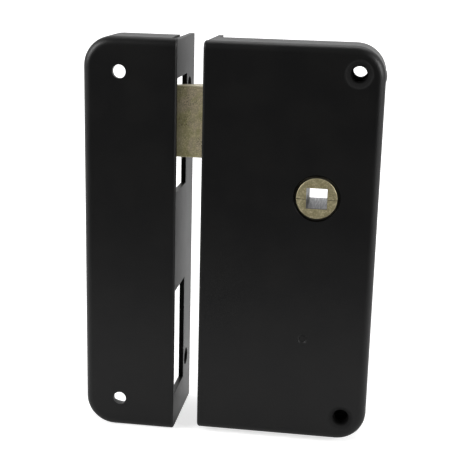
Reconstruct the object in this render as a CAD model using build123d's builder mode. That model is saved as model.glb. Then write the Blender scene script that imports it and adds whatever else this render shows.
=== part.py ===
from build123d import *
from math import cos, radians, sin
import os

os.makedirs("parts", exist_ok=True)

# Surface-mounted latch lock with its keep, in millimetres.
# X runs along the front, away from the forend and into the case. Y runs from the
# viewer into the door. Z runs up. The origin is on the spindle axis, on the plane
# where the case and the keep lie on the door and the frame.

# Folded sheet
sheet = 2.0
edge_radius = 3.2
fold_radius = 1.0
corner_radius = 12.0
relief_width = 0.8
plate_step = 0.5

# Lock case
case_width = 70.0
case_height = 161.0
case_depth = 20.5
plate_depth = 38.2
backset = 46.0
axis_below_top = 59.3

# Screw holes of the case
case_screw_d = 5.8
case_screw_from_side = 10.1
case_screw_from_end = 10.2
case_screw_drop = 0.35
dimple_d = 10.2
dimple_depth = 0.7
dimple_round = 1.5
funnel_d = 7.3
funnel_depth = 2.0
dimple_step = 0.8
sleeve_seat_d = 8.7
sleeve_seat_depth = 1.1
sleeve_wall = 0.8

# Screw holes through the two folded plates
plate_screw_d = 7.5
forend_screw_from_end = 26.0
keep_plate_screw_from_end = 21.4
keep_plate_screw_rise = 0.8
plate_screw_from_rear = 10.2

# Keep
keep_gap = 10.2
keep_width = 37.6
keep_height = 163.2
keep_rise = 0.4
keep_screw_d = 5.4
keep_screw_from_plate = 22.9
keep_screw_from_end = 13.1
keep_screw_drop = 0.4
mouth_height = 45.6
mouth_from_end = 15.4
mouth_overrun = 1.7

# Follower
follower_d = 17.8
follower_face_d = 16.1
follower_face_height = 1.2
follower_face_chamfer = 0.15
follower_proud = 0.1
square = 8.1
joint_line = 0.25
joint_drop = 0.4
rear_journal_d = 14.0
rear_recess = 0.2
collar_rim = 1.05
collar_thickness = 2.0
rim_chamfer = 0.3
arm_turn = 45.0
arm_reach = 16.3
arm_tip_d = 5.2
arm_neck = 3.6
arm_thickness = 6.0

# Latch
latch_height = 28.4
latch_above_axis = 13.0
latch_setback = 3.8
latch_thickness = 8.0
latch_tip_thickness = 2.0
latch_throw = 13.0
latch_left_out = 0.5
latch_bevel_gap = 1.5
latch_inside = 16.6
latch_edge_radius = 0.4

# Slide
slide_thickness = 2.5
slide_bar = 9.6
slide_arm_gap = 1.5
slide_left_gap = 1.1
slide_right_gap = 0.5
slide_column = 11.5
slide_head_margin = 3.3
lug_bottom = 13.8
drive_gap = 0.15
slide_corner = 1.5

# Spring
spring_wire_d = 0.9
spring_mean_d = 6.0
spring_room = 30.0
spring_coils = 9
rod_d = 3.0
rod_depth = 6.0
rod_past_bracket = 2.0

# Bracket
bracket_thickness = 2.0
bracket_foot = 13.0
bracket_height = 8.0
bracket_past_rod = 4.3
bracket_slide_gap = 0.5
bracket_rivet_d = 3.0
bracket_rivet_spacing = 6.0
bracket_rivet_from_end = 2.5

# Rivets, posts, clips and screws
head_rivet_d = 4.0
head_rivet_above_edge = 5.0
head_rivet_spacing = 10.0
head_rivet_from_rear = 7.5
guide_post_d = 5.0
guide_post_from_end = 5.6
guide_foot_d = 8.0
guide_tail_d = 4.0
guide_stub = 1.2
clip_d = 9.0
clip_thickness = 0.8
cover_post_d = 8.0
cover_post_x = -3.3
upper_post_from_end = 11.3
lower_post_from_end = 43.1
stake_d = 4.0
stake_dish = 0.3
screw_d = 4.0
screw_head_d = 7.5
screw_head_depth = 1.6
screw_length = 9.0
screw_slot = 1.0
screw_slot_depth = 0.7

# Clearances
running_gap = 0.08
slide_gap = 0.15
side_gap = 0.3
fixed_gap = 0.02
plate_gap = 0.2

# Places worked out from the sizes above
forend_x = -backset
right_x = case_width - backset
top_z = axis_below_top
bottom_z = top_z - case_height
front_y = -case_depth
front_inner_y = front_y + sheet
plate_rear_y = front_y + plate_depth
back_inner_y = -sheet
travel = latch_throw - latch_left_out
keep_face_x = forend_x - keep_gap
keep_left_x = keep_face_x - keep_width
keep_top_z = top_z + keep_rise
keep_bottom_z = keep_top_z - keep_height
case_screw_x = right_x - case_screw_from_side
case_screw_zs = (top_z - case_screw_from_end - case_screw_drop, bottom_z + case_screw_from_end - case_screw_drop)
plate_screw_y = plate_rear_y - plate_screw_from_rear
upper_cover_post_z = top_z - upper_post_from_end
lower_cover_post_z = bottom_z + lower_post_from_end
latch_bottom_z = latch_above_axis
latch_top_z = latch_above_axis + latch_height
latch_front_y = front_y + latch_setback
latch_rear_y = latch_front_y + latch_thickness
latch_tip_x = forend_x - latch_throw
latch_end_x = forend_x + latch_inside
slide_front_y = latch_rear_y
slide_rear_y = slide_front_y + slide_thickness
slide_middle_y = (slide_front_y + slide_rear_y) / 2
slide_left = forend_x + sheet + slide_left_gap
slide_column_right = slide_left + slide_column
slide_right = right_x - sheet - travel - slide_right_gap
guide_post_x = slide_right - guide_post_from_end
bar_inner_z = arm_reach + arm_tip_d / 2 + slide_arm_gap
bar_outer_z = bar_inner_z + slide_bar
guide_z = (bar_inner_z + bar_outer_z) / 2
arm_rest = arm_turn / 2
drive_x = arm_tip_d / 2 - arm_reach * sin(radians(arm_rest))
spring_y = (latch_front_y + latch_rear_y) / 2
spring_z = bar_outer_z + bracket_slide_gap + bracket_height / 2
bracket_x = latch_end_x + spring_room
sleeve_d = sleeve_seat_d + 2 * sleeve_wall
sleeve_front_y = front_y + edge_radius
column_top_z = latch_top_z - slide_head_margin
plate_top_z = top_z - plate_step
plate_bottom_z = bottom_z + plate_step
keep_plate_top_z = keep_top_z - plate_step
keep_plate_bottom_z = keep_bottom_z + plate_step


def finish(piece, name):
    """Label a finished sub-part and write it as its own file."""
    piece.part.label = name
    export_step(piece.part, "parts/" + name + ".step")


def box_between(x, y, z, mode=Mode.ADD):
    """Add or cut a box between two limits on each axis."""
    with Locations(((x[0] + x[1]) / 2, (y[0] + y[1]) / 2, (z[0] + z[1]) / 2)):
        Box(x[1] - x[0], y[1] - y[0], z[1] - z[0], mode=mode)


def depth_plane(y):
    """The plane across the lock at one depth, seen from the front."""
    return Plane.XZ.offset(-y)


def rounded_block(x, z, depth, radius, rounding, round_right):
    """A block on the mounting plane with one rounded end and rounded front edges."""
    with BuildPart() as block:
        with BuildSketch(Plane.XZ):
            with Locations(((x[0] + x[1]) / 2, (z[0] + z[1]) / 2)):
                Rectangle(x[1] - x[0], z[1] - z[0])
            ends = vertices().sort_by(Axis.X)
            fillet(ends[-2:] if round_right else ends[:2], radius)
        extrude(amount=depth)
        front = block.faces().sort_by(Axis.Y)[0]
        edges = front.edges()
        straight = edges.sort_by(Axis.X)
        square_edge = straight[0] if round_right else straight[-1]
        fillet([edge for edge in edges if edge != square_edge], rounding)
    return block.part


def folded_sheet(x, z, round_right):
    """The common pressing: front and three walls, with a deep plate folded back at the fourth side."""
    inner_x = (x[0] + sheet, x[1] - sheet)
    inner_z = (z[0] + sheet, z[1] - sheet)
    outer = rounded_block(x, z, case_depth, corner_radius, edge_radius, round_right)
    inner = rounded_block(
        inner_x, inner_z, case_depth - sheet, corner_radius - sheet, edge_radius - sheet, round_right
    )
    plate_x = (x[0], inner_x[0]) if round_right else (inner_x[1], x[1])
    slot_x = (inner_x[0], inner_x[0] + relief_width) if round_right else (inner_x[1] - relief_width, inner_x[1])
    bend_end_y = front_y + edge_radius
    with BuildPart() as pressing:
        add(outer)
        add(inner, mode=Mode.SUBTRACT)
        box_between(plate_x, (front_inner_y, plate_rear_y), (z[0] + plate_step, z[1] - plate_step))
        folds = pressing.edges().filter_by(Axis.Z).group_by(Axis.X)[0 if round_right else -1]
        fillet(folds.sort_by(Axis.Y)[0], fold_radius)
        # Slots that part the plate from the end walls, and the plate's shorter ends
        for outer_z, inner_end_z, step_z in ((z[1], inner_z[1], -plate_step), (z[0], inner_z[0], plate_step)):
            slot_z = sorted((inner_end_z + step_z, outer_z - step_z))
            end_z = sorted((outer_z + step_z, outer_z - step_z))
            box_between(slot_x, (bend_end_y, sheet), slot_z, Mode.SUBTRACT)
            box_between(plate_x, (bend_end_y, sheet), end_z, Mode.SUBTRACT)
    return pressing.part


# Case cover: front, walls and forend folded and pressed from one sheet
with BuildPart() as case_cover:
    add(folded_sheet((forend_x, right_x), (bottom_z, top_z), True))
    # Pressed dimples round the two screw holes
    for screw_z in case_screw_zs:
        with BuildSketch(depth_plane(front_inner_y)):
            with Locations((case_screw_x, screw_z)):
                Circle(sleeve_d / 2)
        extrude(amount=front_inner_y - sleeve_front_y)
        with BuildSketch(depth_plane(sleeve_front_y)):
            with Locations((case_screw_x, screw_z)):
                Circle(sleeve_seat_d / 2 - fixed_gap)
        extrude(amount=-dimple_step, taper=10)
        with BuildSketch(depth_plane(front_y)):
            with Locations((case_screw_x, screw_z)):
                Circle(dimple_d / 2)
        with BuildSketch(depth_plane(front_y + dimple_depth)):
            with Locations((case_screw_x, screw_z)):
                Circle(funnel_d / 2)
        loft(mode=Mode.SUBTRACT)
        with BuildSketch(depth_plane(front_y + dimple_depth)):
            with Locations((case_screw_x, screw_z)):
                Circle(funnel_d / 2)
        with BuildSketch(depth_plane(front_y + dimple_depth + funnel_depth)):
            with Locations((case_screw_x, screw_z)):
                Circle(case_screw_d / 2)
        loft(mode=Mode.SUBTRACT)
        with BuildSketch(depth_plane(0)):
            with Locations((case_screw_x, screw_z)):
                Circle(case_screw_d / 2)
        extrude(amount=case_depth, mode=Mode.SUBTRACT)
    # Rounded rim that the pressing leaves round each dimple
    circles = case_cover.edges().filter_by(GeomType.CIRCLE)
    fillet(circles.filter_by(lambda rim: abs(rim.radius - dimple_d / 2) < 0.01), dimple_round)
    # Bearing hole for the follower, with its edge broken
    with BuildSketch(depth_plane(front_y)):
        Circle(follower_d / 2 + running_gap)
    extrude(amount=-sheet, mode=Mode.SUBTRACT)
    rims = case_cover.edges().filter_by(GeomType.CIRCLE)
    chamfer(rims.sort_by_distance((0, front_y, 0))[0], rim_chamfer)
    # Hole for the staked foot of the lower post
    with BuildSketch(depth_plane(front_y)):
        with Locations((cover_post_x, lower_cover_post_z)):
            Circle(stake_d / 2)
    extrude(amount=-sheet, mode=Mode.SUBTRACT)
    # Latch opening in the forend
    box_between(
        (forend_x - sheet, forend_x + 2 * sheet),
        (latch_front_y - slide_gap, latch_rear_y + slide_gap),
        (latch_bottom_z - slide_gap, latch_top_z + slide_gap),
        Mode.SUBTRACT,
    )
    # Screw holes through the part of the forend that laps over the door edge
    for screw_z in (plate_top_z - forend_screw_from_end, plate_bottom_z + forend_screw_from_end):
        with Locations(Location((forend_x, plate_screw_y, screw_z), (0, 90, 0))):
            Hole(plate_screw_d / 2, depth=2 * sheet)
finish(case_cover, "case_cover")

# Keep: front, walls and side plate folded from one sheet
keep_screw_zs = (
    keep_top_z - keep_screw_from_end - keep_screw_drop,
    keep_bottom_z + keep_screw_from_end - keep_screw_drop,
)
with BuildPart() as keep_box:
    add(folded_sheet((keep_left_x, keep_face_x), (keep_bottom_z, keep_top_z), False))
    # Two mouths in the side plate, from the fold to just past the mounting plane
    for mouth_z in (keep_top_z - mouth_from_end - mouth_height, keep_bottom_z + mouth_from_end):
        box_between(
            (keep_face_x - 2 * sheet, keep_face_x + sheet),
            (front_inner_y, mouth_overrun),
            (mouth_z, mouth_z + mouth_height),
            Mode.SUBTRACT,
        )
    # Screw holes in the front
    for screw_z in keep_screw_zs:
        with Locations(Location((keep_face_x - keep_screw_from_plate, front_y, screw_z), (90, 0, 0))):
            Hole(keep_screw_d / 2, depth=2 * sheet)
    # Screw holes through the part of the side plate that laps over the frame edge
    for screw_z in (
        keep_plate_top_z - keep_plate_screw_from_end + keep_plate_screw_rise,
        keep_plate_bottom_z + keep_plate_screw_from_end + keep_plate_screw_rise,
    ):
        with Locations(Location((keep_face_x, plate_screw_y, screw_z), (0, 90, 0))):
            Hole(plate_screw_d / 2, depth=2 * sheet)
finish(keep_box, "keep_box")

# Back plate: lies between the walls and closes the case
back_left_x = forend_x + sheet + plate_gap
back_right_x = right_x - sheet - plate_gap
back_top_z = top_z - sheet - plate_gap
back_bottom_z = bottom_z + sheet + plate_gap
foot_rivet_x = bracket_x + bracket_foot - bracket_rivet_from_end
rivet_xs = (foot_rivet_x - bracket_rivet_spacing, foot_rivet_x)
with BuildPart() as back_plate:
    with BuildSketch(Plane.XZ):
        with Locations(((back_left_x + back_right_x) / 2, (back_top_z + back_bottom_z) / 2)):
            Rectangle(back_right_x - back_left_x, back_top_z - back_bottom_z)
        # Corner notches that clear the two sleeves
        for screw_z, corner_z in zip(case_screw_zs, (back_top_z, back_bottom_z)):
            with Locations((back_right_x, corner_z)):
                Rectangle(
                    2 * (back_right_x - case_screw_x + sleeve_d / 2 + plate_gap),
                    2 * (abs(corner_z - screw_z) + sleeve_d / 2 + plate_gap),
                    mode=Mode.SUBTRACT,
                )
        Circle(rear_journal_d / 2 + running_gap, mode=Mode.SUBTRACT)
        with Locations((guide_post_x, guide_z), (guide_post_x, -guide_z)):
            Circle(guide_tail_d / 2, mode=Mode.SUBTRACT)
        with Locations([(rivet_x, spring_z) for rivet_x in rivet_xs]):
            Circle(bracket_rivet_d / 2, mode=Mode.SUBTRACT)
        with Locations((cover_post_x, lower_cover_post_z), (cover_post_x, upper_cover_post_z)):
            Circle(screw_d / 2 + slide_gap, mode=Mode.SUBTRACT)
    extrude(amount=sheet)
    # Countersinks for the two back screws
    for post_z in (lower_cover_post_z, upper_cover_post_z):
        with BuildSketch(depth_plane(0)):
            with Locations((cover_post_x, post_z)):
                Circle(screw_head_d / 2 + slide_gap)
        with BuildSketch(depth_plane(-screw_head_depth)):
            with Locations((cover_post_x, post_z)):
                Circle(screw_d / 2 + slide_gap)
        loft(mode=Mode.SUBTRACT)
finish(back_plate, "back_plate")

# Sleeves round the two fixing screws, seated on the pressed dimples
for name, screw_z in zip(("upper_screw_sleeve", "lower_screw_sleeve"), case_screw_zs):
    with BuildPart() as screw_sleeve:
        with BuildSketch(Plane.XZ):
            with Locations((case_screw_x, screw_z)):
                Circle(sleeve_d / 2)
                Circle(case_screw_d / 2, mode=Mode.SUBTRACT)
        extrude(amount=-sleeve_front_y)
        with BuildSketch(depth_plane(sleeve_front_y)):
            with Locations((case_screw_x, screw_z)):
                Circle(sleeve_seat_d / 2)
        extrude(amount=-sleeve_seat_depth, mode=Mode.SUBTRACT)
    finish(screw_sleeve, name)


def cover_post(z, staked):
    """A threaded post between front and back plate. Its foot may be staked through the front."""
    with BuildPart() as post:
        with BuildSketch(depth_plane(back_inner_y)):
            with Locations((cover_post_x, z)):
                Circle(cover_post_d / 2)
        extrude(amount=case_depth - 2 * sheet)
        chamfer(post.faces().sort_by(Axis.Y)[-1].edges(), rim_chamfer)
        if staked:
            with BuildSketch(depth_plane(front_inner_y)):
                with Locations((cover_post_x, z)):
                    Circle(stake_d / 2 - fixed_gap)
            extrude(amount=sheet)
            with BuildSketch(depth_plane(front_y)):
                with Locations((cover_post_x, z)):
                    Circle(stake_d / 2 - rim_chamfer)
            extrude(amount=-stake_dish, taper=45, mode=Mode.SUBTRACT)
        with BuildSketch(depth_plane(back_inner_y)):
            with Locations((cover_post_x, z)):
                Circle(screw_d / 2 + fixed_gap)
        extrude(amount=screw_length, mode=Mode.SUBTRACT)
    return post


finish(cover_post(upper_cover_post_z, False), "upper_cover_post")
finish(cover_post(lower_cover_post_z, True), "lower_cover_post")


def back_screw(z):
    """A slotted countersunk screw, driven from the back into its post."""
    with BuildPart() as screw:
        with BuildSketch(depth_plane(0)):
            with Locations((cover_post_x, z)):
                Circle(screw_head_d / 2)
        with BuildSketch(depth_plane(-screw_head_depth)):
            with Locations((cover_post_x, z)):
                Circle(screw_d / 2)
        loft()
        with BuildSketch(depth_plane(-screw_head_depth)):
            with Locations((cover_post_x, z)):
                Circle(screw_d / 2)
        extrude(amount=screw_length - screw_head_depth)
        chamfer(screw.faces().sort_by(Axis.Y)[0].edges(), rim_chamfer)
        box_between(
            (cover_post_x - screw_head_d, cover_post_x + screw_head_d),
            (-screw_slot_depth, screw_slot_depth),
            (z - screw_slot / 2, z + screw_slot / 2),
            Mode.SUBTRACT,
        )
    return screw


finish(back_screw(upper_cover_post_z), "upper_back_screw")
finish(back_screw(lower_cover_post_z), "lower_back_screw")


def guide_post(z):
    """A shouldered post, riveted into the back plate, that runs in a slot of the slide."""
    with BuildPart() as post:
        with BuildSketch(depth_plane(back_inner_y)):
            with Locations((guide_post_x, z)):
                Circle(guide_foot_d / 2)
        extrude(amount=back_inner_y - slide_rear_y - side_gap)
        with BuildSketch(depth_plane(back_inner_y)):
            with Locations((guide_post_x, z)):
                Circle(guide_post_d / 2)
        extrude(amount=back_inner_y - slide_front_y + side_gap + clip_thickness + guide_stub)
        chamfer(post.faces().sort_by(Axis.Y)[0].edges(), rim_chamfer)
        with BuildSketch(depth_plane(back_inner_y)):
            with Locations((guide_post_x, z)):
                Circle(guide_tail_d / 2 - fixed_gap)
        extrude(amount=-sheet)
    return post


def guide_clip(z):
    """An open ring that snaps on the guide post in front of the slide."""
    with BuildPart() as clip:
        with BuildSketch(depth_plane(slide_front_y - side_gap)):
            with Locations((guide_post_x, z)):
                Circle(clip_d / 2)
                Circle(guide_post_d / 2 + fixed_gap, mode=Mode.SUBTRACT)
            with Locations((guide_post_x + clip_d / 2, z)):
                Rectangle(clip_d, 0.7 * guide_post_d, mode=Mode.SUBTRACT)
        extrude(amount=clip_thickness)
    return clip


finish(guide_post(guide_z), "upper_guide_post")
finish(guide_post(-guide_z), "lower_guide_post")
finish(guide_clip(guide_z), "upper_guide_clip")
finish(guide_clip(-guide_z), "lower_guide_clip")

# Spring bracket: a foot on the back plate and an upright that the spring bears on
with BuildPart() as spring_bracket:
    box_between(
        (bracket_x, bracket_x + bracket_foot),
        (back_inner_y - bracket_thickness, back_inner_y),
        (spring_z - bracket_height / 2, spring_z + bracket_height / 2),
    )
    box_between(
        (bracket_x, bracket_x + bracket_thickness),
        (spring_y - bracket_past_rod, back_inner_y),
        (spring_z - bracket_height / 2, spring_z + bracket_height / 2),
    )
    bend = spring_bracket.edges().filter_by(Axis.Z).group_by(Axis.Y)[-1]
    fillet(bend.sort_by(Axis.X)[0], bracket_thickness / 2)
    tip = spring_bracket.edges().filter_by(Axis.X).group_by(Axis.Y)[0]
    fillet(tip, bracket_height / 4)
    with Locations(Location((bracket_x, spring_y, spring_z), (0, 90, 0))):
        Hole(rod_d / 2 + slide_gap, depth=2 * bracket_thickness)
    for rivet_x in rivet_xs:
        with Locations(Location((rivet_x, back_inner_y, spring_z), (90, 0, 0))):
            Hole(bracket_rivet_d / 2, depth=2 * bracket_thickness)
finish(spring_bracket, "spring_bracket")

# Rivets through bracket foot and back plate, set flush at the back
for name, rivet_x in zip(("inner_bracket_rivet", "outer_bracket_rivet"), rivet_xs):
    with BuildPart() as bracket_rivet:
        with BuildSketch(Plane.XZ):
            with Locations((rivet_x, spring_z)):
                Circle(bracket_rivet_d / 2 - fixed_gap)
        extrude(amount=sheet + bracket_thickness)
        with BuildSketch(depth_plane(back_inner_y - bracket_thickness)):
            with Locations((rivet_x, spring_z)):
                Circle(bracket_rivet_d * 0.75)
        extrude(amount=bracket_rivet_d / 3)
        fillet(bracket_rivet.faces().sort_by(Axis.Y)[0].edges(), bracket_rivet_d / 4)
    finish(bracket_rivet, name)

# Latch head: flat front, the rear face bevelled towards the tip
lower_rivet_z = latch_bottom_z + head_rivet_above_edge
rivet_zs = (lower_rivet_z + head_rivet_spacing, lower_rivet_z)
head_rivet_x = latch_end_x - head_rivet_from_rear
with BuildPart() as latch_head:
    with BuildSketch(Plane.XY.offset(latch_bottom_z)):
        with BuildLine():
            Polyline(
                (latch_tip_x, latch_front_y),
                (latch_end_x, latch_front_y),
                (latch_end_x, latch_rear_y),
                (forend_x - latch_bevel_gap, latch_rear_y),
                (latch_tip_x, latch_front_y + latch_tip_thickness),
                close=True,
            )
        make_face()
    extrude(amount=latch_height)
    tip_edges = latch_head.faces().sort_by(Axis.X)[0].edges()
    long_edges = latch_head.faces().sort_by(Axis.Y)[0].edges().filter_by(Axis.X)
    fillet(tip_edges + long_edges, latch_edge_radius)
    # Blind hole for the spring rod
    with BuildSketch(Plane.YZ.offset(latch_end_x)):
        with Locations((spring_y, spring_z)):
            Circle(rod_d / 2)
    extrude(amount=-rod_depth, mode=Mode.SUBTRACT)
    for rivet_z in rivet_zs:
        with Locations(Location((head_rivet_x, latch_rear_y, rivet_z), (90, 0, 0))):
            Hole(head_rivet_d / 2, depth=2 * latch_thickness)
finish(latch_head, "latch_head")

# Slide: a plate with an upper and a lower bar, each with a lug for one arm
with BuildPart() as latch_slide:
    with BuildSketch(depth_plane(slide_rear_y)):
        with BuildLine():
            Polyline(
                (slide_left, -bar_outer_z),
                (slide_right, -bar_outer_z),
                (slide_right, -lug_bottom),
                (drive_x + drive_gap, -lug_bottom),
                (drive_x + drive_gap, -bar_inner_z),
                (slide_column_right, -bar_inner_z),
                (slide_column_right, bar_inner_z),
                (drive_x + drive_gap, bar_inner_z),
                (drive_x + drive_gap, lug_bottom),
                (slide_right, lug_bottom),
                (slide_right, bar_outer_z),
                (slide_column_right, bar_outer_z),
                (slide_column_right, column_top_z),
                (slide_left, column_top_z),
                close=True,
            )
        make_face()
        fillet(vertices().group_by(Axis.X)[-1], slide_corner)
        for bar_z in (guide_z, -guide_z):
            with Locations((guide_post_x - travel / 2, bar_z)):
                SlotCenterToCenter(travel, guide_post_d + 2 * slide_gap, mode=Mode.SUBTRACT)
        with Locations([(head_rivet_x, rivet_z) for rivet_z in rivet_zs]):
            Circle(head_rivet_d / 2, mode=Mode.SUBTRACT)
    extrude(amount=slide_thickness)
finish(latch_slide, "latch_slide")

# Rivets through slide and head, flush in front and domed behind
for name, rivet_z in zip(("upper_head_rivet", "lower_head_rivet"), rivet_zs):
    with BuildPart() as head_rivet:
        with BuildSketch(depth_plane(slide_rear_y)):
            with Locations((head_rivet_x, rivet_z)):
                Circle(head_rivet_d / 2 - fixed_gap)
        extrude(amount=slide_thickness + latch_thickness)
        with BuildSketch(depth_plane(slide_rear_y)):
            with Locations((head_rivet_x, rivet_z)):
                Circle(head_rivet_d * 0.75)
        extrude(amount=-head_rivet_d / 4)
        fillet(head_rivet.faces().sort_by(Axis.Y)[-1].edges(), head_rivet_d / 5)
    finish(head_rivet, name)

# Spring rod: fixed in the head, slides through the bracket
with BuildPart() as spring_rod:
    with BuildSketch(Plane.YZ.offset(latch_end_x - rod_depth)):
        with Locations((spring_y, spring_z)):
            Circle(rod_d / 2 - fixed_gap)
    extrude(amount=rod_depth + spring_room + bracket_thickness + rod_past_bracket)
    chamfer(spring_rod.faces().sort_by(Axis.X)[-1].edges(), rim_chamfer)
finish(spring_rod, "spring_rod")

# Latch spring: an open coil round the rod
spring_length = spring_room - spring_wire_d - 2 * fixed_gap
spring_start_x = latch_end_x + spring_wire_d / 2 + fixed_gap
with BuildPart() as latch_spring:
    with BuildLine():
        coil = Helix(
            pitch=spring_length / spring_coils,
            height=spring_length,
            radius=spring_mean_d / 2,
            center=(spring_start_x, spring_y, spring_z),
            direction=(1, 0, 0),
        )
    with BuildSketch(Plane(origin=coil @ 0, z_dir=coil % 0)):
        Circle(spring_wire_d / 2)
    sweep(path=coil, is_frenet=True)
finish(latch_spring, "latch_spring")


def follower_half(side):
    """One half of the hub with its arm. Side is 1 for the upper half and -1 for the lower half."""
    arm_angle = 90 + arm_rest if side > 0 else -90 - arm_rest
    journal_y = -rear_recess
    body_rear_y = back_inner_y - running_gap
    body_front_y = front_y - follower_proud
    face_rear_y = front_y + follower_face_height
    tip = (arm_reach * cos(radians(arm_angle)), arm_reach * sin(radians(arm_angle)))
    with BuildPart() as half:
        with BuildSketch(depth_plane(journal_y)):
            Circle(rear_journal_d / 2)
        extrude(amount=journal_y - body_front_y)
        with BuildSketch(depth_plane(body_rear_y)):
            Circle(follower_d / 2)
        extrude(amount=body_rear_y - face_rear_y)
        with BuildSketch(depth_plane(face_rear_y)):
            Circle(follower_face_d / 2)
        extrude(amount=face_rear_y - body_front_y)
        chamfer(half.faces().sort_by(Axis.Y)[0].edges(), follower_face_chamfer)
        with BuildSketch(depth_plane(front_inner_y + running_gap + collar_thickness)):
            Circle(follower_d / 2 + collar_rim)
        extrude(amount=collar_thickness)
        with BuildSketch(depth_plane(slide_middle_y + arm_thickness / 2)):
            with Locations(tip):
                Circle(arm_tip_d / 2)
            with Locations(Location((tip[0] / 2, tip[1] / 2, 0), (0, 0, arm_angle))):
                Rectangle(arm_reach, arm_neck)
        extrude(amount=arm_thickness)
        with BuildSketch(depth_plane(journal_y)):
            Rectangle(square, square)
        extrude(amount=journal_y - body_front_y, mode=Mode.SUBTRACT)
        limit = follower_d + arm_reach
        other_half = sorted((side * joint_line / 2 - joint_drop, -side * limit))
        box_between((-limit, limit), (front_y - limit, limit), other_half, Mode.SUBTRACT)
    return half


finish(follower_half(1), "follower_upper_half")
finish(follower_half(-1), "follower_lower_half")
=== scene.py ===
# %% [markdown]
# # A surface-mounted latch lock and its keep
# Two folded and pressed steel covers carry a semi-matt black coat. The right one holds the latch and the
# follower, a brass-coloured hub with a square hole for the door handle's spindle. The left one is the keep,
# and the latch bolt reaches into the upper of its two mouths.
#
# The solids come from the packed model, in metres, and they stay where they are. This script gives them
# their finishes, adds the small things that a solid model leaves out, and sets up camera, stage and lamps.
# The spindle axis is the origin. X runs from the latch into the case, Y into the door and Z up. Lengths
# are written in millimetres and multiplied by MM where Blender wants metres.

# %% Load the packed solids
import math

import bpy
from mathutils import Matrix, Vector


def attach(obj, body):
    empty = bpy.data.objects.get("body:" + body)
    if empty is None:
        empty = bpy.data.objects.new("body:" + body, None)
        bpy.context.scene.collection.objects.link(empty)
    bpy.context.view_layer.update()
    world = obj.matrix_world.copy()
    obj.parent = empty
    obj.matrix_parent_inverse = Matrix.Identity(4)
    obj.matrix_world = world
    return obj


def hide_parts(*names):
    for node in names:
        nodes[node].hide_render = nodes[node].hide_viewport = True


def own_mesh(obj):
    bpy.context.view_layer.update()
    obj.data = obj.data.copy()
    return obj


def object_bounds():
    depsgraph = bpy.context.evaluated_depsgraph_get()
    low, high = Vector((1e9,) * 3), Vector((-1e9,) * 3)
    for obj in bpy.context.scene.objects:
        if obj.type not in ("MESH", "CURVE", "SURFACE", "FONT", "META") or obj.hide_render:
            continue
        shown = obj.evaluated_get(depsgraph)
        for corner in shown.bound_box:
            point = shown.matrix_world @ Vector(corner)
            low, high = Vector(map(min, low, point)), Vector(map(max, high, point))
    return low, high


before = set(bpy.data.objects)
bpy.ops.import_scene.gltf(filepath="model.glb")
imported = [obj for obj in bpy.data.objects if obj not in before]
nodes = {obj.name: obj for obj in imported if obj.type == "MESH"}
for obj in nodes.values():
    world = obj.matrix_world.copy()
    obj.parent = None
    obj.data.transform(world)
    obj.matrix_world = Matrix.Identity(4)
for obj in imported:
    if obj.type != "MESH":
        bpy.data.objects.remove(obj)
solids_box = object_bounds()
MM = 0.001
print("nodes", len(nodes), "box", [[round(v, 4) for v in corner] for corner in solids_box])

# %% [markdown]
# ## The camera
# The photograph looks at the lock from a little above and from the right, through a long lens. Its place
# was found by fitting a camera to points of the outline, so it is set as numbers and not aimed at anything.
# A 470 by 470 picture with an 81 mm lens on a 36 mm sensor gives the same drawing.

# %% Camera at the photograph's place
CAMERA_PLACE = Vector((23.21, -423.79, 91.68)) * MM
CAMERA_TURN = [math.radians(angle) for angle in (75.093, -1.465, 8.155)]
FOCAL_LENGTH = 81.0
SENSOR_WIDTH = 36.0
NEAREST_SEEN = 20.0

bpy.ops.object.camera_add(location=CAMERA_PLACE, rotation=CAMERA_TURN)
camera = bpy.context.object
camera.data.lens = FOCAL_LENGTH
camera.data.sensor_width = SENSOR_WIDTH
camera.data.clip_start = NEAREST_SEEN * MM
bpy.context.scene.camera = camera
bpy.context.scene.view_settings.view_transform = "Standard"
print("camera", [round(v, 4) for v in camera.location])

# %% [markdown]
# ## Wiring a finish
# A finish is a small network of nodes, and wiring it line by line is long. So one class wraps a socket and
# lets plain arithmetic add the Math nodes. The operators that are used have their reflected forms too, so
# that a number may stand in front, as in 1 - mask.

# %% Socket arithmetic
class Wire:
    """An output socket that adds Math nodes when it is used in arithmetic."""

    def __init__(self, finish, socket):
        self.finish = finish
        self.socket = socket

    def __add__(self, other):
        return self.finish.math("ADD", self, other)

    def __sub__(self, other):
        return self.finish.math("SUBTRACT", self, other)

    def __rsub__(self, other):
        return self.finish.math("SUBTRACT", other, self)

    def __mul__(self, other):
        return self.finish.math("MULTIPLY", self, other)

    def __pow__(self, other):
        return self.finish.math("POWER", self, other)

    def __abs__(self):
        return self.finish.math("ABSOLUTE", self)

    __radd__ = __add__
    __rmul__ = __mul__

    def band(self, low, high):
        """0 below low and 1 above high, smooth between them. With low above high it falls instead."""
        return self.finish.node("MapRange", {"interpolation_type": "SMOOTHSTEP"},
                                {"Value": self, "From Min": low, "From Max": high})


print("Wire adds Math nodes by plain arithmetic")

# %% [markdown]
# The second class holds a material while it is wired. Its method node() adds every kind of node, and the
# rest of its methods are the few patterns that this lock needs more than once. All of them read Object
# coordinates. Every mesh has its place in its own points, so one millimetre of grain is the same everywhere,
# and a pattern runs on from one solid to the next.

# %% Finish under construction
BEVEL_SAMPLES = 4


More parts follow.
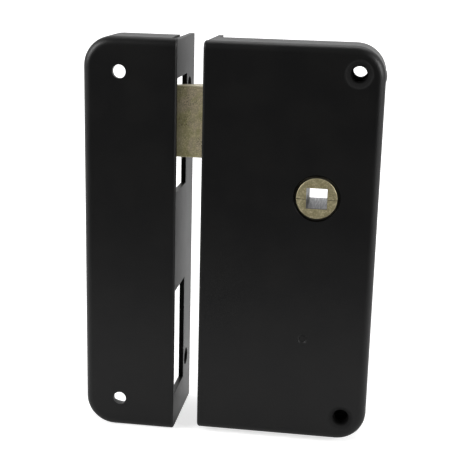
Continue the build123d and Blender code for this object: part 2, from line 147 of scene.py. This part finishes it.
class Finish:
    """A material, or the world, under construction."""

    def __init__(self, name, tree=None):
        if tree is None:
            self.material = bpy.data.materials.new(name)
            self.material.use_nodes = True
            tree = self.material.node_tree
        self.tree = tree
        self.shader = tree.nodes.get("Principled BSDF")

    def node(self, kind, settings=None, inputs=None, output=0):
        """Add a node: its settings first, then the values or wires of its inputs."""
        made = self.tree.nodes.new("ShaderNode" + kind)
        for key, value in (settings or {}).items():
            setattr(made, key, value)
        for key, value in (inputs or {}).items():
            self.feed(made.inputs[key], value)
        return Wire(self, made.outputs[output])

    def feed(self, socket, value):
        """Link a wire to an input, or set the input's own value."""
        if isinstance(value, Wire):
            self.tree.links.new(value.socket, socket)
        elif isinstance(value, (tuple, list)) and len(value) == 3 and socket.type == "RGBA":
            socket.default_value = (*value, 1.0)
        else:
            socket.default_value = value

    def math(self, operation, *values):
        """One Math node on wires and numbers."""
        return self.node("Math", {"operation": operation}, dict(enumerate(values)))

    def place(self, stretch=(1.0, 1.0, 1.0)):
        """Object coordinates in millimetres, stretched along each axis."""
        coordinates = self.node("TexCoord", output="Object")
        scale = [1.0 / (MM * along) for along in stretch]
        return self.node("Mapping", {"vector_type": "POINT"}, {"Vector": coordinates, "Scale": scale})

    def parts(self, vector):
        """The x, y and z of a vector, as three wires."""
        first = self.node("SeparateXYZ", {}, {"Vector": vector})
        return [Wire(self, socket) for socket in first.socket.node.outputs]

    def grain(self, size, detail=2.0, stretch=(1.0, 1.0, 1.0), roughness=0.5):
        """Noise whose lumps are about size millimetres across."""
        return self.node("TexNoise", {}, {"Vector": self.place(stretch), "Scale": 1.0 / size, "Detail": detail,
                                          "Roughness": roughness})

    def blend(self, share, first, second):
        """A colour between two colours."""
        return self.node("Mix", {"data_type": "RGBA"}, {0: share, 6: first, 7: second}, output=2)

    def rounding(self, radius):
        """The normal that a small rounding of every sharp edge would give, radius in millimetres."""
        return self.node("Bevel", {"samples": BEVEL_SAMPLES}, {"Radius": radius * MM})

    def edge(self, rounded):
        """1 along sharp edges and 0 on the faces between them, from the rounded normal."""
        plain = self.node("NewGeometry", output="Normal")
        agreement = self.node("VectorMath", {"operation": "DOT_PRODUCT"}, {0: rounded, 1: plain}, output=1)
        return (1.0 - agreement).band(0.01, 0.2)

    def bump(self, height, depth, rounded):
        """A normal from a height between 0 and 1, depth millimetres high, over rounded edges."""
        return self.node("Bump", {}, {"Height": height, "Distance": depth * MM, "Normal": rounded})

    def surface(self, **values):
        """Set the shader's inputs, with spaces for underscores."""
        for key, value in values.items():
            self.feed(self.shader.inputs[key.replace("_", " ")], value)
        return self.material


print("Finish has", len([name for name in vars(Finish) if not name.startswith("_")]), "methods")

# %% [markdown]
# ## Where the coat is dull or has painted shade
# The covers were coated as finished pressings, and hardly any powder gets into a hole. The coat round the
# screw holes of the case is dull, and the walls of those holes and of the follower's hole are painted black
# without sheen, as painted shade. Both are discs round known places, so the distance from the middle of each
# hole gives them. A disc drawn in the finish needs no faces of its own, and its border can be soft.

# %% Discs round the holes
CASE_SCREW_HOLES = ((13.9, 48.75), (13.9, -91.85))
FOLLOWER_HOLE = (0.0, 0.0, 9.5, 0.3)
SHADED_HOLES = [(x, z, 4.0, 1.2) for x, z in CASE_SCREW_HOLES] + [FOLLOWER_HOLE]
DULL_RIMS = [(x, z, 6.0, 1.6) for x, z in CASE_SCREW_HOLES]


def inside_circles(finish, circles):
    """1 inside the circles (x, z, radius, soft) of a front and 0 outside, rising over the width soft."""
    x, _, z = finish.parts(finish.place())
    inside = 0.0
    for middle_x, middle_z, radius, soft in circles:
        distance = ((x - middle_x) ** 2 + (z - middle_z) ** 2) ** 0.5
        inside = finish.math("MAXIMUM", distance.band(radius, radius - soft), inside)
    return inside


print("shaded holes", len(SHADED_HOLES), "dull rims", len(DULL_RIMS))

# %% [markdown]
# ## The black coat
# The covers carry a powder coat that was baked on. It is not flat black. It has a fine orange peel, clouds
# that differ a little in gloss, and a few specks of dust under it. Along cut edges the powder draws back
# and hands rub it, so it turns a trace lighter and smoother there.
#
# Most of what the eye sees on black is reflection. So the base colour is very dark, and the peel is a bump of
# a few hundredths of a millimetre, which shows where light grazes a face. The painted shade in the holes shows
# no sheen. Metallic does that here, because a metal reflects light only in its own colour, here black.

# %% Black coat
COAT_BLACKS = ((0.0030, 0.0030, 0.0032), (0.0042, 0.0041, 0.0040))
COAT_DUST = (0.016, 0.016, 0.016)
COAT_RUBBED = (0.022, 0.021, 0.020)
COAT_HOLE_SHADE = (0.009, 0.009, 0.009)
COAT_GLOSS = 0.4
PEEL_DEPTH = 0.06


def coat_finish(name, rub, dullness, with_holes=False):
    coat = Finish(name)
    rounded = coat.rounding(0.3)
    peel = coat.grain(0.9, detail=3.0)
    clouds = coat.grain(16.0, detail=3.0)
    dust = coat.grain(0.3, detail=1.0)
    handling = coat.grain(5.0, detail=4.0, roughness=0.65)
    color = coat.blend(clouds.band(0.35, 0.65), *COAT_BLACKS)
    color = coat.blend(dust.band(0.70, 0.76) * 0.5, color, COAT_DUST)
    rubbed = coat.edge(rounded) * handling.band(0.38, 0.62) * rub
    color = coat.blend(rubbed, color, COAT_RUBBED)
    roughness = dullness + 0.07 * clouds + 0.05 * dust - 0.08 * rubbed
    hole_shade = 0.0
    if with_holes:
        # painted shade: the walls of the holes are made black and without sheen
        hole_shade = inside_circles(coat, SHADED_HOLES)
        color = coat.blend(hole_shade, color, COAT_HOLE_SHADE)
        roughness = roughness + 0.5 * inside_circles(coat, DULL_RIMS)
    relief = 0.75 * peel + 0.25 * dust
    return coat.surface(Base_Color=color, Roughness=roughness, Metallic=hole_shade, Specular_IOR_Level=COAT_GLOSS,
                        Normal=coat.bump(relief, PEEL_DEPTH, rounded))


keep_coat = coat_finish("keep_coat", rub=0.8, dullness=0.36)
case_coat = coat_finish("case_coat", rub=0.8, dullness=0.36, with_holes=True)
post_coat = coat_finish("post_coat", rub=0.2, dullness=0.5)
print("coats", case_coat.name, keep_coat.name, post_coat.name)

# %% [markdown]
# ## Black oxide
# The two sleeves behind the screw holes are steel that was blackened in a hot bath. That leaves a dull, dark
# grey skin with a faint mottle, thinner than any coat. The eye meets it deep inside the holes, so its sheen
# is off: a sheen there would shine out of the shadow like a light ring.

# %% Black oxide
OXIDE_GREYS = ((0.034, 0.034, 0.035), (0.048, 0.046, 0.044))


def sleeve_finish():
    oxide = Finish("black_oxide")
    clouds = oxide.grain(2.0, detail=3.0)
    color = oxide.blend(clouds.band(0.3, 0.7), *OXIDE_GREYS)
    return oxide.surface(Base_Color=color, Roughness=0.6 + 0.2 * clouds, Specular_IOR_Level=0.0)


sleeve_oxide = sleeve_finish()
print("sleeves", sleeve_oxide.name)

# %% [markdown]
# ## The latch metal
# The latch head is a pressed and sintered part, plated to a dull olive brass. Seen close, its face is a soft
# patchwork: greener and pinker clouds a few millimetres wide, a fine grain of dark and light specks, and
# groups of dark pores. The long edges carry polish from sliding and a thin light line, which is partly a
# painted highlight. Near the tip a painted shadow of the keep, which it slides into, darkens it.

# %% Sintered brass
LATCH_MIDDLE_Z = 27.2
LATCH_HALF_HEIGHT = 14.2
KEEP_SHADOW_FROM_X = -52.8
KEEP_SHADOW_FULL_X = -56.4
SINTERED_TONES = ((0.62, 0.57, 0.28), (0.82, 0.74, 0.44))
SINTERED_PINK = (0.82, 0.69, 0.52)
SINTERED_SPECKS = ((0.40, 0.35, 0.20), (0.98, 0.90, 0.66))
SINTERED_PORES = (0.10, 0.085, 0.05)
SINTERED_POLISH_AND_HIGHLIGHT = (0.90, 0.82, 0.58)
LATCH_KEEP_SHADOW = (0.20, 0.18, 0.11)


def latch_finish():
    metal = Finish("sintered_brass")
    rounded = metal.rounding(0.35)
    clouds = metal.grain(3.6, detail=3.0)
    warmth = metal.grain(5.0, detail=2.0, stretch=(1.0, 1.0, 1.4))
    specks = metal.grain(0.6, detail=3.0)
    pores = metal.grain(0.4, detail=1.0)
    groups = metal.grain(4.5, detail=1.0, stretch=(1.6, 1.0, 1.0))
    along, _, upright = metal.parts(metal.place())
    dark_speck, light_speck = SINTERED_SPECKS
    color = metal.blend(clouds.band(0.3, 0.7), *SINTERED_TONES)
    color = metal.blend(warmth.band(0.42, 0.66) * 0.7, color, SINTERED_PINK)
    color = metal.blend(specks.band(0.60, 0.38) * 0.42, color, dark_speck)
    color = metal.blend(specks.band(0.54, 0.70) * 0.5, color, light_speck)
    # painted shadow of the keep, darkening the latch near its tip
    color = metal.blend(along.band(KEEP_SHADOW_FROM_X, KEEP_SHADOW_FULL_X) * 0.5, color, LATCH_KEEP_SHADOW)
    pitted = pores.band(0.56, 0.68) * groups.band(0.52, 0.66)
    color = metal.blend(pitted * 0.75, color, SINTERED_PORES)
    # the long edges are lighter: polish from sliding, and partly a painted highlight
    long_edge = abs(upright - LATCH_MIDDLE_Z).band(LATCH_HALF_HEIGHT - 0.5, LATCH_HALF_HEIGHT - 0.1)
    polish_and_highlight = metal.math("MAXIMUM", metal.edge(rounded), long_edge)
    color = metal.blend(polish_and_highlight * 0.7, color, SINTERED_POLISH_AND_HIGHLIGHT)
    roughness = 0.58 - 0.1 * specks + 0.1 * pitted - 0.18 * polish_and_highlight
    relief = specks - 0.6 * pitted
    return metal.surface(Base_Color=color, Metallic=0.5, Roughness=roughness,
                         Normal=metal.bump(relief, 0.02, rounded))


sintered_brass = latch_finish()
print("latch", sintered_brass.name, "with", len(sintered_brass.node_tree.nodes), "nodes")

# %% [markdown]
# ## The follower metal
# The follower is turned on a lathe, so its face carries very fine rings round the spindle axis, which years
# of handling have softened. Its rim is bright. Inside the square the plating is gone, because the spindle
# rubs there, and bare grey metal with sliding marks along the hole is left. Its lower left corner and the
# front of its floor are darkened with painted shade. Behind the face the hub is painted black, painted shade
# that keeps the gap round it dark.

# %% Turned brass
FACE_Y = -20.6
FACE_RADIUS = 8.05
SQUARE_HALF = 4.05
TURNED_TONES = ((0.46, 0.40, 0.22), (0.66, 0.59, 0.36))
TURNED_SPECKS = ((0.25, 0.215, 0.13), (0.90, 0.82, 0.58))
TURNED_RIM = (0.66, 0.60, 0.42)
BARE_GREYS = ((0.30, 0.30, 0.31), (0.52, 0.52, 0.53))
SQUARE_CORNER_SHADE = (0.06, 0.055, 0.035)
HUB_GAP_SHADE = (0.012, 0.011, 0.009)


def follower_finish():
    metal = Finish("turned_brass")
    rounded = metal.rounding(0.2)
    x, y, z = metal.parts(metal.place())
    radius = (x * x + z * z) ** 0.5
    rings = metal.math("SINE", radius * 14.0) * 0.5 + 0.5
    grain = metal.grain(0.6, detail=3.0)
    clouds = metal.grain(3.0, detail=3.0)
    slide_marks = metal.grain(0.5, detail=2.0, stretch=(1.0, 14.0, 1.0))
    polish = radius.band(FACE_RADIUS - 0.55, FACE_RADIUS + 0.05)
    dark_speck, light_speck = TURNED_SPECKS
    color = metal.blend(clouds.band(0.3, 0.7), *TURNED_TONES)
    color = metal.blend(grain.band(0.62, 0.4) * 0.45, color, dark_speck)
    color = metal.blend(grain.band(0.56, 0.72) * 0.4, color, light_speck)
    color = metal.blend(polish * 0.3, color, TURNED_RIM)
    inside = metal.math("MAXIMUM", abs(x), abs(z)).band(SQUARE_HALF + 0.15, SQUARE_HALF + 0.05)
    color = metal.blend(inside, color, metal.blend(slide_marks.band(0.35, 0.65), *BARE_GREYS))
    # painted shade in the lower left corner and at the front of the square's floor
    lower_left = x.band(-3.2, -4.0) * z.band(-0.2, -0.8)
    floor_front = y.band(FACE_Y + 1.3, FACE_Y + 0.5) * z.band(-3.7, -4.0)
    corner_shade = inside * metal.math("MAXIMUM", lower_left, floor_front)
    color = metal.blend(corner_shade * 0.7, color, SQUARE_CORNER_SHADE)
    # painted shade: the hub behind the face is made black so the gap round it stays dark
    gap_shade = y.band(FACE_Y + 0.2, FACE_Y + 0.6) * (1.0 - inside)
    color = metal.blend(gap_shade * 0.92, color, HUB_GAP_SHADE)
    roughness = 0.44 + 0.08 * grain + 0.04 * polish + 0.2 * gap_shade
    relief = 0.25 * rings + 0.75 * grain
    metallic = 0.7 - 0.55 * gap_shade
    return metal.surface(Base_Color=color, Metallic=metallic, Roughness=roughness,
                         Normal=metal.bump(relief, 0.008, rounded))


turned_brass = follower_finish()
print("follower", turned_brass.name, "with", len(turned_brass.node_tree.nodes), "nodes")

# %% [markdown]
# ## Zinc-plated and spring steel
# Back plate and slide are cut from rolled sheet and zinc plated: pale grey with bluish and yellowish
# clouds, and fine lines along the direction in which the sheet was rolled. Posts and screws were plated in a
# barrel and are more even. The clips and the coil spring are hardened steel, dark and oily.
#
# One function makes all of them. The stretch of its grain and its colours tell them apart: the first two
# colours are the dark and the light of the metal, and the third is its stain.

# %% Steel
ZINC = ((0.36, 0.37, 0.39), (0.47, 0.475, 0.48), (0.40, 0.37, 0.29))
DULLER_ZINC = [tuple(0.85 * part for part in tone) for tone in ZINC]
OILED = ((0.14, 0.14, 0.145), (0.22, 0.215, 0.21), (0.17, 0.13, 0.09))
STEEL_EDGE = (0.72, 0.72, 0.72)
ROLLED = (1.0, 1.0, 60.0)
EVEN = (1.0, 1.0, 1.0)


def steel_finish(name, along, tones, smoothness):
    metal = Finish(name)
    dark, light, stain = tones
    rounded = metal.rounding(0.2)
    clouds = metal.grain(22.0, detail=5.0)
    stains = metal.grain(13.0, detail=5.0, roughness=0.62)
    lines = metal.grain(0.45, detail=3.0, stretch=along)
    color = metal.blend(0.6 * clouds.band(0.3, 0.7) + 0.4 * lines.band(0.3, 0.7), dark, light)
    color = metal.blend(stains.band(0.54, 0.74) * 0.5, color, stain)
    color = metal.blend(metal.edge(rounded) * 0.5, color, STEEL_EDGE)
    roughness = smoothness + 0.16 * lines + 0.1 * clouds
    return metal.surface(Base_Color=color, Metallic=1.0, Roughness=roughness,
                         Normal=metal.bump(lines, 0.006, rounded))


zinc_sheet = steel_finish("zinc_sheet", ROLLED, ZINC, 0.28)
zinc_turned = steel_finish("zinc_turned", EVEN, DULLER_ZINC, 0.26)
spring_steel = steel_finish("spring_steel", EVEN, OILED, 0.30)
print("steels", zinc_sheet.name, zinc_turned.name, spring_steel.name)

# %% [markdown]
# ## A finish for each solid
# The solids keep their meshes, and only the material in their slot changes. Most of the small ones are turned
# and zinc plated, so the table names the others and all that it doesn't name get that finish.

# %% Give each solid its finish
FINISHES = {
    "case_cover": case_coat,
    "keep_box": keep_coat,
    "lower_cover_post": post_coat,
    "upper_screw_sleeve": sleeve_oxide,
    "lower_screw_sleeve": sleeve_oxide,
    "latch_head": sintered_brass,
    "follower_upper_half": turned_brass,
    "follower_lower_half": turned_brass,
    "back_plate": zinc_sheet,
    "latch_slide": zinc_sheet,
    "spring_bracket": zinc_sheet,
    "upper_guide_clip": spring_steel,
    "lower_guide_clip": spring_steel,
}
for name, node in nodes.items():
    node.data.materials.clear()
    node.data.materials.append(FINISHES.get(name, zinc_turned))
print("finished", len(FINISHES), "solids by name and", len(nodes) - len(FINISHES), "as turned parts")

# %% [markdown]
# ## Swellings at the pressed corners
# Where a pressed corner ends and the straight wall begins, the coat has gathered in a low bead at the rear
# rim. Both beads at the right show in the outline of the case, the lower one farther round its corner, so it
# is tilted. Each is a block whose corners a Subdivision Surface modifier rounds off to a bean. It is sunk so
# far into the wall that only a low cap stands out, and a cap leaves the wall at a gentle slope. What would
# stand past the rear rim is cut off level with it.

# %% Swellings on the right wall
WALL_X = 24.0
SWELLING_BLOCK = (2.8, 9.6, 7.0)
SWELLING_LEVELS = 4
SMOOTH_ANGLE = math.radians(40.0)
SWELLINGS = {
    "upper_corner_swelling": (23.25, 46.2, 0.0),
    "lower_corner_swelling": (22.45, -93.9, 22.0),
}


def corner_swelling(name, x, z, tilt):
    bpy.ops.object.select_all(action="DESELECT")
    bpy.ops.mesh.primitive_cube_add(size=1.0, location=(x * MM, 0.0, z * MM),
                                    rotation=(0.0, math.radians(tilt), 0.0))
    swelling = bpy.context.object
    swelling.name = name
    swelling.scale = [side * MM for side in SWELLING_BLOCK]
    bpy.ops.object.transform_apply(location=True, rotation=True, scale=True)
    rounding = swelling.modifiers.new("rounding", "SUBSURF")
    rounding.levels = rounding.render_levels = SWELLING_LEVELS
    bpy.ops.object.modifier_apply(modifier=rounding.name)
    bpy.ops.object.mode_set(mode="EDIT")
    bpy.ops.mesh.select_all(action="SELECT")
    bpy.ops.mesh.bisect(plane_co=(0.0, 0.0, 0.0), plane_no=(0.0, 1.0, 0.0), use_fill=True,
                        clear_outer=True)
    bpy.ops.mesh.select_all(action="SELECT")
    bpy.ops.mesh.normals_make_consistent(inside=False)
    bpy.ops.object.mode_set(mode="OBJECT")
    bpy.ops.object.shade_smooth_by_angle(angle=SMOOTH_ANGLE)
    swelling.data.materials.append(keep_coat)
    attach(swelling, "case")
    return swelling


for name, (x, z, tilt) in SWELLINGS.items():
    swelling = corner_swelling(name, x, z, tilt)
    past_wall = max(vertex.co.x for vertex in swelling.data.vertices) / MM - WALL_X
    print(name, len(swelling.data.polygons), "faces, past the flat wall by", round(past_wall, 2), "mm")

# %% [markdown]
# ## The latch spring
# A coil spring pushes the latch out. It starts on the end of the latch head and ends on a fixed bracket, so
# it gets shorter as the latch goes in, and the packed solid can't do that. A coil is a small circle carried
# round an axis and along it at the same time, which the Screw modifier does. Real coils are wound close at
# both ends so that they stand square, so the coil is three runs on one axis, joined where they meet.

# %% One run of the coil
WIRE_RADIUS = 0.45
WIRE_SIDES = 12
COIL_RADIUS = 3.0
COIL_Y = -12.7
COIL_Z = 34.5
STEPS_A_TURN = 24


def coil_run(start_x, turns, pitch):
    """Whole turns of wire from start_x on, along X, in millimetres."""
    bpy.ops.object.select_all(action="DESELECT")
    bpy.ops.mesh.primitive_circle_add(vertices=WIRE_SIDES, radius=WIRE_RADIUS * MM,
                                      location=(0.0, COIL_RADIUS * MM, 0.0))
    bpy.ops.object.transform_apply(location=True)
    run = bpy.context.object
    winding = run.modifiers.new("winding", "SCREW")
    winding.axis = "X"
    winding.angle = math.tau
    winding.screw_offset = pitch * MM
    winding.iterations = turns
    winding.steps = winding.render_steps = STEPS_A_TURN
    bpy.ops.object.modifier_apply(modifier=winding.name)
    run.location = (start_x * MM, COIL_Y * MM, COIL_Z * MM)
    bpy.ops.object.transform_apply(location=True)
    return run


print("a turn of the coil has", WIRE_SIDES * STEPS_A_TURN, "faces")

# %% [markdown]
# The runs meet in circles of the same points, which are welded. The two open ends of the wire are then the
# only edges with a face on one side alone, so selecting those edges finds them, and they are filled.

# %% Coil with close-wound ends
HEAD_END_X = -29.4
BRACKET_X = 0.6
END_GAP = 0.02
WELD_WITHIN = 0.01
CLOSE_PITCH = 0.95
OPEN_TURNS = 8


def coil_spring():
    first_x = HEAD_END_X + WIRE_RADIUS + END_GAP
    last_x = BRACKET_X - WIRE_RADIUS - END_GAP
    open_pitch = (last_x - first_x - 2 * CLOSE_PITCH) / OPEN_TURNS
    runs = [
        coil_run(first_x, 1, CLOSE_PITCH),
        coil_run(first_x + CLOSE_PITCH, OPEN_TURNS, open_pitch),
        coil_run(last_x - CLOSE_PITCH, 1, CLOSE_PITCH),
    ]
    for run in runs:
        run.select_set(True)
    bpy.ops.object.join()
    spring = bpy.context.object
    spring.name = "coil_spring"
    bpy.ops.object.mode_set(mode="EDIT")
    bpy.ops.mesh.select_all(action="SELECT")
    bpy.ops.mesh.remove_doubles(threshold=WELD_WITHIN * MM)
    bpy.ops.mesh.select_all(action="DESELECT")
    bpy.ops.mesh.select_mode(type="EDGE")
    bpy.ops.mesh.select_non_manifold()
    bpy.ops.mesh.fill_holes(sides=WIRE_SIDES)
    bpy.ops.mesh.select_all(action="SELECT")
    bpy.ops.mesh.normals_make_consistent(inside=False)
    bpy.ops.object.mode_set(mode="OBJECT")
    bpy.ops.object.shade_smooth_by_angle(angle=SMOOTH_ANGLE)
    spring.data.materials.append(spring_steel)
    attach(spring, "latch")
    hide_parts("latch_spring")
    return spring


latch_spring = coil_spring()
print("coil spring", len(latch_spring.data.polygons), "faces")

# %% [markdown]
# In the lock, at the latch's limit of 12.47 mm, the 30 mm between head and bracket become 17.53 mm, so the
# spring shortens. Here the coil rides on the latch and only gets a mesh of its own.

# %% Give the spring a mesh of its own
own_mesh(latch_spring)
print("coil spring box", [round(v / MM, 2) for v in latch_spring.dimensions], "mm")

# %% [markdown]
# ## The stage
# A pale sweep stands under and behind the lock. It is one sheet with a rounded bend, so there is no horizon
# line. To the camera it glows just enough to read as white paper, and it still takes the lock's shadow. It
# is much larger than the lock, so its sizes are in metres.

# %% Sweep of pale paper
SWEEP_WIDTH = 4.0
SWEEP_DEPTH = 1.5
SWEEP_HEIGHT = 1.6
SWEEP_MIDDLE_Y = 0.57
BEND_RADIUS = 0.5
BEND_SEGMENTS = 16
FLOOR_Z = solids_box[0].z - 0.1 * MM


def paper_sweep():
    bpy.ops.object.select_all(action="DESELECT")
    bpy.ops.mesh.primitive_plane_add(size=1.0, location=(0.0, SWEEP_MIDDLE_Y, FLOOR_Z))
    sweep = bpy.context.object
    sweep.name = "paper_sweep"
    sweep.scale = (SWEEP_WIDTH, SWEEP_DEPTH, 1.0)
    bpy.ops.object.transform_apply(location=True, rotation=True, scale=True)
    bpy.ops.object.mode_set(mode="EDIT")
    bpy.ops.mesh.select_all(action="DESELECT")
    bpy.ops.object.mode_set(mode="OBJECT")
    back_y = max(vertex.co.y for vertex in sweep.data.vertices)
    for edge in sweep.data.edges:
        edge.select = all(sweep.data.vertices[i].co.y > back_y - 0.01 for i in edge.vertices)
    bpy.ops.object.mode_set(mode="EDIT")
    bpy.ops.mesh.select_mode(type="EDGE")
    bpy.ops.mesh.extrude_region_move(TRANSFORM_OT_translate={"value": (0.0, 0.0, SWEEP_HEIGHT)})
    bpy.ops.object.mode_set(mode="OBJECT")
    bend = sweep.modifiers.new("bend", "BEVEL")
    bend.width = BEND_RADIUS
    bend.segments = BEND_SEGMENTS
    bpy.ops.object.modifier_apply(modifier=bend.name)
    bpy.ops.object.shade_smooth()
    return sweep


sweep = paper_sweep()
print("sweep", len(sweep.data.polygons), "faces")

# %% [markdown]
# The paper's own colour is a pale grey that takes shadows. What the camera and mirror-like faces see of it
# is lifted towards white by its emission: a little near the lock, so that its shadow stays, and wholly
# farther away. In front of the lock the paper lends nothing to reflections.

# %% Finish of the paper
PAPER_GREYS = ((0.66, 0.66, 0.66), (0.69, 0.69, 0.69))
DARK = (0.0, 0.0, 0.0)
WHITE = (1.0, 1.0, 1.0)
LIFT_NEAR = 0.68
LIFT_FROM, LIFT_FULL = 130.0, 420.0


def paper_finish():
    paper = Finish("pale_paper")
    across, deep, _ = paper.parts(paper.place())
    seen = paper.node("LightPath", output="Is Camera Ray")
    mirrored = paper.node("LightPath", output="Is Glossy Ray")
    away = ((across * across + deep * deep) ** 0.5).band(LIFT_FROM, LIFT_FULL)
    level = paper.math("MAXIMUM", seen * (LIFT_NEAR + (1.0 - LIFT_NEAR) * away),
                       0.5 * mirrored * deep.band(-24.0, 4.0))
    fibres = paper.grain(2.0, detail=3.0)
    return paper.surface(Base_Color=paper.blend(fibres, *PAPER_GREYS), Roughness=0.85,
                         Emission_Color=paper.blend(level, DARK, WHITE), Emission_Strength=1.0)


pale_paper = paper_finish()
sweep.data.materials.append(pale_paper)
print("paper", pale_paper.name)

# %% [markdown]
# ## Light
# The room is bright behind and above the lock and dim in front of it, as in a light tent with an opening for
# the camera. The front of the lock mirrors the dim side and stays black, and its upward faces mirror the
# bright side at a low angle and turn grey. What the camera sees of the room itself is plain white.

# %% World
TENT_DIM = 0.042
TENT_BRIGHT = 0.75

world = bpy.data.worlds.new("light_tent")
bpy.context.scene.world = world
world.use_nodes = True
tent = Finish("light_tent", world.node_tree)
seen = tent.node("LightPath", output="Is Camera Ray")
across, deep, high = tent.parts(tent.node("TexCoord", output="Generated"))
tent_level = TENT_DIM + TENT_BRIGHT * (deep + 0.12 * high + 0.2 * abs(across)).band(-0.1, 0.6)
background = world.node_tree.nodes["Background"]
background.inputs["Color"].default_value = (*WHITE, 1.0)
tent.feed(background.inputs["Strength"], seen + (1.0 - seen) * tent_level)
print("world", world.name, "with", len(world.node_tree.nodes), "nodes")

# %% [markdown]
# Three large square lamps shape what the room leaves flat. One above and behind lights the top walls, and one
# on each side runs a soft sheen along the rounded edges. All look at the middle of the lock. Their places and
# sides are in metres.

# %% Lamps
LAMP_SIDE = 0.7
LAMPS = {
    "top_lamp": ((0.1, 0.45, 1.1), 3.5),
    "right_lamp": ((1.15, -0.5, 0.45), 14.0),
    "left_lamp": ((-1.1, -0.55, 0.55), 14.0),
}
lock_middle = (solids_box[0] + solids_box[1]) / 2
for name, (place, watts) in LAMPS.items():
    bpy.ops.object.light_add(type="AREA", location=place)
    lamp = bpy.context.object
    lamp.name = name
    lamp.data.shape = "SQUARE"
    lamp.data.size = LAMP_SIDE
    lamp.data.energy = watts
    lamp.rotation_euler = (lock_middle - lamp.location).to_track_quat("-Z", "Y").to_euler()
    print(name, watts, "W")

# %% [markdown] ## The end
# What is shown may be hardly larger than the solids.
